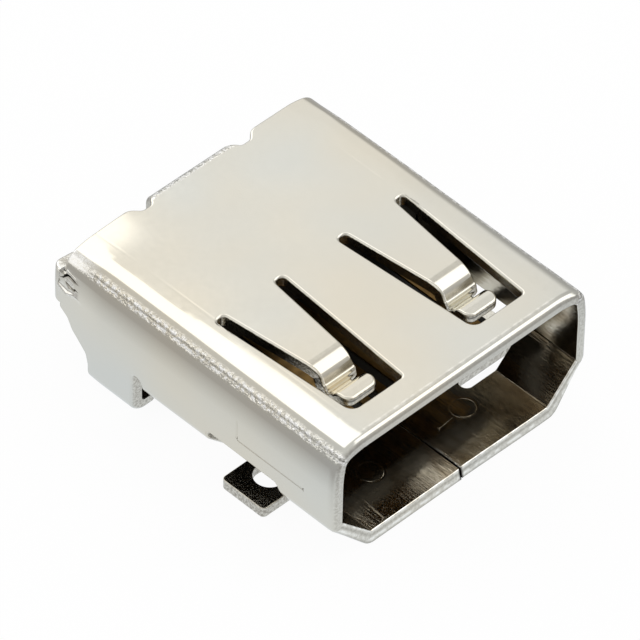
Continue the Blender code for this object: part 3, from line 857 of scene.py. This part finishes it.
def shell_mesh():
    """The whole shell as one mesh with true normals, folded from its flat sheet."""
    half = shell_half_outline()
    loops = [rounded(half + mirrored(half))]
    for corners in (tab_cutout(RIGHT_TAB_FRONT), mirrored(tab_cutout(TAB_FRONT))):
        loops.append(rounded(corners))
    for side in (-1, 1):
        loops.append(rounded(window(side * SPRING_X)))
        loops.append(circle(side * floor_s(TAB_HOLE_X), TAB_HOLE_V, TAB_HOLE_R))
    corners, triangles = flat_triangles(loops, shell_marks())
    border, outward = outward_normals(corners, triangles)
    points, flats = [], []

    def add(u, v, lift, flat):
        points.append((u, v, lift))
        flats.append(flat)
        return len(points) - 1

    def paint(name, values):
        mesh.attributes.new(name, "FLOAT", "POINT").data.foreach_set("value", values)

    rings = {}
    for corner, (push, unit) in outward.items():
        u, v = corners[corner]
        rings[corner] = [
            add(u - push[0] * inset, v - push[1] * inset, lift, (unit[0] * out, unit[1] * out, up))
            for inset, lift, out, up in edge_rings(u, v)
        ]
    used = sorted({corner for triangle in triangles for corner in triangle} - set(rings))
    top = {corner: add(*corners[corner], HALF, (0, 0, 1)) for corner in used}
    low = {corner: add(*corners[corner], -HALF, (0, 0, -1)) for corner in used}
    top.update({corner: ring[0] for corner, ring in rings.items()})
    low.update({corner: ring[-1] for corner, ring in rings.items()})
    faces = [(top[a], top[b], top[c]) for a, b, c in triangles]
    faces += [(low[c], low[b], low[a]) for a, b, c in triangles]
    for a, b in border:
        for k in range(len(rings[a]) - 1):
            faces.append((rings[b][k], rings[a][k], rings[a][k + 1], rings[b][k + 1]))
    placed = [fold_shell(*point) for point in points]
    normals = [folded_normal(*point, flat) for point, flat in zip(points, flats)]
    mesh = bpy.data.meshes.new("shell_sheet")
    mesh.from_pydata([(x * MM, (y - MIDDLE) * MM, z * MM) for x, y, z in placed], [], faces)
    mesh.shade_smooth()
    mesh.normals_split_custom_set_from_vertices(normals)
    paint("crazing_and_highlight", [crazing_and_highlight_of(u, v) for u, v, _ in points])
    paint("sheared", [sheared_of(u, v, flat) for (u, v, _), flat in zip(points, flats)])
    paint("painted_highlight", [painted_highlight_of(*point, flat) for point, flat in zip(points, flats)])
    paint("painted_shade", [painted_shade_of(*point, flat) for point, flat in zip(points, flats)])
    paint("inner", [inner_of(*point, flat) for point, flat in zip(points, flats)])
    paint("corner_highlight", [corner_highlight_of(*point) for point in points])
    mesh.validate()
    return mesh


class Nodes:
    """A short way to write a material's nodes."""

    def __init__(self, name):
        self.material = bpy.data.materials.new(name)
        self.material.use_nodes = True
        self.tree = self.material.node_tree
        self.shader = self.tree.nodes["Principled BSDF"]

    def add(self, kind, inputs=None, **settings):
        node = self.tree.nodes.new(kind)
        for name, value in settings.items():
            setattr(node, name, value)
        for name, value in (inputs or {}).items():
            self.link(value, node.inputs[name])
        return node

    def link(self, value, socket):
        if isinstance(value, bpy.types.NodeSocket):
            self.tree.links.new(value, socket)
        else:
            socket.default_value = value

    def place(self):
        return self.add("ShaderNodeTexCoord").outputs["Object"]

    def noise(self, place, scale, detail=3.0, roughness=0.5):
        inputs = {"Vector": place, "Scale": scale, "Detail": detail, "Roughness": roughness}
        return self.add("ShaderNodeTexNoise", inputs).outputs["Fac"]

    def painted(self, name):
        return self.add("ShaderNodeAttribute", attribute_name=name).outputs["Fac"]

    def stretched(self, place, scale):
        inputs = {0: place, 1: scale}
        return self.add("ShaderNodeVectorMath", inputs, operation="MULTIPLY").outputs[0]

    def spread(self, value, low, high, to_low, to_high):
        inputs = {0: value, 1: low, 2: high, 3: to_low, 4: to_high}
        return self.add("ShaderNodeMapRange", inputs).outputs[0]

    def maths(self, operation, a, b=0.0):
        return self.add("ShaderNodeMath", {0: a, 1: b}, operation=operation).outputs[0]

    def mix(self, factor, a, b):
        node = self.add("ShaderNodeMix", data_type="RGBA")
        self.link(factor, node.inputs["Factor"])
        self.link(a, node.inputs["A"])
        self.link(b, node.inputs["B"])
        return node.outputs["Result"]

    def bump(self, height, strength, distance, normal=None):
        inputs = {"Height": height, "Strength": strength, "Distance": distance}
        if normal:
            inputs["Normal"] = normal
        return self.add("ShaderNodeBump", inputs).outputs["Normal"]


def nickel_material():
    """Nickel plating over sheet steel: satin, faintly clouded, and grainy where the sheet is bent, with painted
    highlights and painted shade in its colour.
    """
    nodes = Nodes("nickel_plating")
    place = nodes.place()
    clouds = nodes.noise(place, 260.0, 2.0)
    grain = nodes.noise(place, 9000.0, 4.0, 0.6)
    crazing_and_highlight = nodes.painted("crazing_and_highlight")
    sheared = nodes.painted("sheared")
    inner = nodes.painted("inner")
    painted_shade = nodes.painted("painted_shade")
    painted_highlight = nodes.painted("painted_highlight")
    corner_highlight = nodes.painted("corner_highlight")
    warm = (0.715, 0.665, 0.555, 1.0)
    cool = (0.67, 0.665, 0.61, 1.0)
    colour = nodes.mix(nodes.spread(clouds, 0.35, 0.65, 0.0, 1.0), warm, cool)
    torn = nodes.noise(place, 20000.0, 3.0, 0.6)
    dull = nodes.mix(nodes.spread(torn, 0.4, 0.6, 0.0, 1.0), (0.36, 0.33, 0.28, 1.0), (0.66, 0.63, 0.55, 1.0))
    colour = nodes.mix(nodes.maths("MULTIPLY", sheared, 0.8), colour, dull)
    pits = nodes.add("ShaderNodeTexVoronoi", {"Vector": place, "Scale": 380.0}).outputs["Distance"]
    pit = nodes.spread(pits, 0.010, 0.020, 1.0, 0.0)
    colour = nodes.mix(nodes.maths("MULTIPLY", pit, 0.6), colour, (0.24, 0.20, 0.15, 1.0))
    # painted shade: the faces inside the socket are darkened and browned, more so in uneven patches
    colour = nodes.mix(nodes.maths("MULTIPLY", inner, 0.6), colour, (0.52, 0.45, 0.32, 1.0))
    inner_shade_patches = nodes.spread(nodes.noise(nodes.stretched(place, (2600.0, 1100.0, 1800.0)), 1.0, 4.0), 0.42, 0.62, 0.0, 0.75)
    colour = nodes.mix(nodes.maths("MULTIPLY", inner_shade_patches, inner), colour, (0.32, 0.25, 0.16, 1.0))
    flecks = nodes.spread(nodes.noise(place, 7000.0, 2.0), 0.40, 0.58, 0.15, 1.0)
    # painted highlights: bright flecks along the rim's lines, the seam's edge, the torn ear and the raised wall lines
    colour = nodes.mix(nodes.maths("MULTIPLY", painted_highlight, flecks), colour, (0.97, 0.95, 0.88, 1.0))
    # painted highlights: the crazed bend is spotted white, and made less metallic where painted white
    bead_highlights = nodes.noise(nodes.stretched(place, (15000.0, 11000.0, 15000.0)), 1.0, 1.0)
    bead_highlights = nodes.maths("MULTIPLY", nodes.spread(bead_highlights, 0.47, 0.55, 0.0, 1.0), crazing_and_highlight)
    # painted highlight: the rear left corner of the roof is mottled white
    mottled = nodes.maths("MULTIPLY", nodes.spread(torn, 0.35, 0.55, 0.5, 1.0), corner_highlight)
    white = nodes.maths("MAXIMUM", bead_highlights, mottled)
    colour = nodes.mix(white, colour, (0.98, 0.97, 0.94, 1.0))
    # painted shade: the seam, the slits beside the ears and the shade lines are painted near black
    colour = nodes.mix(painted_shade, colour, (0.030, 0.024, 0.018, 1.0))
    nodes.link(colour, nodes.shader.inputs["Base Color"])
    nodes.link(nodes.spread(white, 0.0, 1.0, 1.0, 0.25), nodes.shader.inputs["Metallic"])
    streaks = nodes.noise(nodes.stretched(place, (30000.0, 3500.0, 30000.0)), 1.0, 3.0)
    rough = nodes.spread(grain, 0.3, 0.7, 0.10, 0.15)
    rough = nodes.maths("ADD", rough, nodes.maths("MULTIPLY", sheared, 0.08))
    rough = nodes.maths("ADD", rough, nodes.maths("MULTIPLY", inner, 0.015))
    nodes.link(rough, nodes.shader.inputs["Roughness"])
    normal = nodes.bump(grain, 0.25, 0.0000008)
    normal = nodes.bump(nodes.maths("MULTIPLY", torn, sheared), 0.6, 0.000012, normal)
    normal = nodes.bump(nodes.maths("MULTIPLY", streaks, inner), 0.7, 0.000005, normal)
    dashes = nodes.noise(nodes.stretched(place, (26000.0, 21000.0, 26000.0)), 1.0, 1.0)
    dashes = nodes.spread(dashes, 0.36, 0.60, 0.0, 1.0)
    normal = nodes.bump(nodes.maths("MULTIPLY", dashes, crazing_and_highlight), 1.0, 0.000014, normal)
    nodes.link(normal, nodes.shader.inputs["Normal"])
    return nodes.material


def resin_material():
    """Black moulded resin, satin, with the grain of its mould."""
    nodes = Nodes("black_moulding")
    place = nodes.place()
    grain = nodes.noise(place, 14000.0, 3.0)
    colour = nodes.mix(nodes.noise(place, 2500.0), (0.012, 0.012, 0.012, 1), (0.03, 0.026, 0.022, 1))
    nodes.link(colour, nodes.shader.inputs["Base Color"])
    nodes.link(nodes.spread(grain, 0.3, 0.7, 0.38, 0.52), nodes.shader.inputs["Roughness"])
    nodes.link(nodes.bump(grain, 0.3, 0.00001), nodes.shader.inputs["Normal"])
    return nodes.material


def gold_material():
    """Thin gold plating, unevenly worn, with both its tones painted darker as shade."""
    nodes = Nodes("gold_contacts")
    place = nodes.place()
    wear = nodes.noise(place, 5000.0, 4.0)
    # both tones lie far below real gold, as painted shade over the contacts
    colour = nodes.mix(nodes.spread(wear, 0.4, 0.7, 0.0, 1.0), (0.40, 0.25, 0.09, 1), (0.24, 0.15, 0.06, 1))
    nodes.link(colour, nodes.shader.inputs["Base Color"])
    nodes.shader.inputs["Metallic"].default_value = 1.0
    nodes.link(nodes.spread(wear, 0.3, 0.7, 0.30, 0.46), nodes.shader.inputs["Roughness"])
    nodes.link(nodes.bump(wear, 0.2, 0.000005), nodes.shader.inputs["Normal"])
    return nodes.material


def give(obj, material):
    obj.data.materials.clear()
    obj.data.materials.append(material)


def make_shell():
    """The finely made shell in place of the CAD one."""
    shell = bpy.data.objects.new("shell_sheet", shell_mesh())
    bpy.context.scene.collection.objects.link(shell)
    give(shell, nickel_material())
    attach(shell, "root")
    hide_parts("shell")


def finish_solids():
    """Finishes for the CAD solids that stay: the insulator and the contacts."""
    resin = resin_material()
    gold = gold_material()
    for name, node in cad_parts.items():
        if name == "insulator":
            give(node, resin)
        elif name.startswith("contact"):
            give(node, gold)


def make_floor():
    """A pale floor, white to the camera; in the metal's reflections pale near the part and painted darker further off,
    as a horizon. A small share of its real shading stays.
    """
    mesh = bpy.data.meshes.new("floor")
    reach = 0.2
    mesh.from_pydata([(-reach, -reach, 0), (reach, -reach, 0), (reach, reach, 0), (-reach, reach, 0)], [], [(0, 1, 2, 3)])
    floor = bpy.data.objects.new("floor", mesh)
    floor.location.z = -0.00002
    bpy.context.scene.collection.objects.link(floor)
    nodes = Nodes("pale_floor")
    nodes.shader.inputs["Base Color"].default_value = (0.9, 0.9, 0.9, 1.0)
    nodes.shader.inputs["Roughness"].default_value = 0.9
    nodes.shader.inputs["Specular IOR Level"].default_value = 0.0
    path = nodes.add("ShaderNodeLightPath")
    seen = nodes.maths("MAXIMUM", path.outputs["Is Camera Ray"], path.outputs["Is Glossy Ray"])
    seen = nodes.maths("MAXIMUM", seen, path.outputs["Is Transmission Ray"])
    spot = nodes.add("ShaderNodeSeparateXYZ", {0: nodes.place()})
    past_side = nodes.maths("SUBTRACT", nodes.maths("ABSOLUTE", spot.outputs["X"]), TAB_REACH * MM)
    past_end = nodes.maths("SUBTRACT", nodes.maths("ABSOLUTE", spot.outputs["Y"]), MIDDLE * MM)
    away = nodes.maths("MAXIMUM", past_side, past_end)
    past_plate = nodes.maths("SUBTRACT", nodes.maths("ABSOLUTE", spot.outputs["X"]), RELIEF_INNER_X * MM)
    open_to_light = nodes.maths("MAXIMUM", past_plate, past_end)
    lit = nodes.spread(open_to_light, SHADE_INSIDE * MM, SHADE_OUTSIDE * MM, 0.0, FLOOR_WHITE_SHARE)
    share = nodes.maths("MULTIPLY", seen, lit)
    fade = nodes.spread(away, FLOOR_NEAR * MM, FLOOR_FAR * MM, 0.0, 1.0)
    mirrored_tone = nodes.mix(fade, FLOOR_IN_METAL, FLOOR_EDGE_IN_METAL)
    tone = nodes.mix(path.outputs["Is Camera Ray"], mirrored_tone, (1.0, 1.0, 1.0, 1.0))
    white = nodes.add("ShaderNodeEmission", {"Color": tone, "Strength": 1.0}).outputs[0]
    mixed = nodes.add("ShaderNodeMixShader", {0: share, 1: nodes.shader.outputs[0], 2: white})
    output = nodes.tree.nodes["Material Output"]
    nodes.tree.links.new(mixed.outputs[0], output.inputs["Surface"])
    give(floor, nodes.material)


def make_world():
    """A pale tent: white where the camera sees it, and in the metal darker towards the horizon, with lit panels."""
    world = bpy.data.worlds.new("studio")
    bpy.context.scene.world = world
    world.use_nodes = True
    tree = world.node_tree

    def add(kind, inputs, **settings):
        node = tree.nodes.new(kind)
        for name, value in settings.items():
            setattr(node, name, value)
        for name, value in inputs.items():
            if isinstance(value, bpy.types.NodeSocket):
                tree.links.new(value, node.inputs[name])
            else:
                node.inputs[name].default_value = value
        return node

    def within(value, low, high):
        ends = []
        for a, b in ((low - PANEL_SOFT, low + PANEL_SOFT), (high + PANEL_SOFT, high - PANEL_SOFT)):
            ends.append(add("ShaderNodeMapRange", {0: value, 1: a, 2: b}).outputs[0])
        return product(*ends)

    def product(a, b):
        return add("ShaderNodeMath", {0: a, 1: b}, operation="MULTIPLY").outputs[0]

    direction = add("ShaderNodeSeparateXYZ", {0: add("ShaderNodeTexCoord", {}).outputs["Generated"]})
    x, y, z = (direction.outputs[axis] for axis in "XYZ")
    ramp = add("ShaderNodeValToRGB", {0: add("ShaderNodeMapRange", {0: z, 1: -1.0, 2: 1.0}).outputs[0]})
    stops = ramp.color_ramp.elements
    for i, (height, level) in enumerate(TENT):
        stop = stops[i] if i < len(stops) else stops.new(0.5)
        stop.position = (height + 1) / 2
        stop.color = (level, level, level, 1.0)
    level = ramp.outputs[0]
    above = within(z, PANEL_BOTTOM, 1.1)
    for low_x, high_x, low_y, high_y, panel in PANELS:
        mask = product(product(within(x, low_x, high_x), within(y, low_y, high_y)), above)
        level = add("ShaderNodeMix", {0: mask, 2: level, 3: panel}).outputs[0]
    tent = add("ShaderNodeBackground", {"Color": (1.0, 1.0, 1.0, 1.0), "Strength": level})
    seen = add("ShaderNodeBackground", {"Color": (1.0, 1.0, 1.0, 1.0), "Strength": 1.0})
    path = add("ShaderNodeLightPath", {})
    mixed = add("ShaderNodeMixShader", {0: path.outputs["Is Camera Ray"], 1: tent.outputs[0], 2: seen.outputs[0]})
    tree.links.new(mixed.outputs[0], tree.nodes["World Output"].inputs["Surface"])


def make_camera():
    """The photograph's camera."""
    data = bpy.data.cameras.new("camera")
    data.lens = CAMERA_LENS
    data.shift_x, data.shift_y = CAMERA_SHIFT
    data.clip_start = 0.001
    camera = bpy.data.objects.new("camera", data)
    turned = Matrix((CAMERA_RIGHT, CAMERA_UP, CAMERA_BACK)).transposed().to_4x4()
    x, y, z = CAMERA_PLACE
    turned.translation = Vector((x * MM, (y - MIDDLE) * MM, z * MM))
    camera.matrix_world = turned
    bpy.context.scene.collection.objects.link(camera)
    bpy.context.scene.camera = camera


def main():
    make_shell()
    finish_solids()
    make_floor()
    make_world()
    make_camera()
    bpy.context.scene.view_settings.view_transform = "Standard"


main()
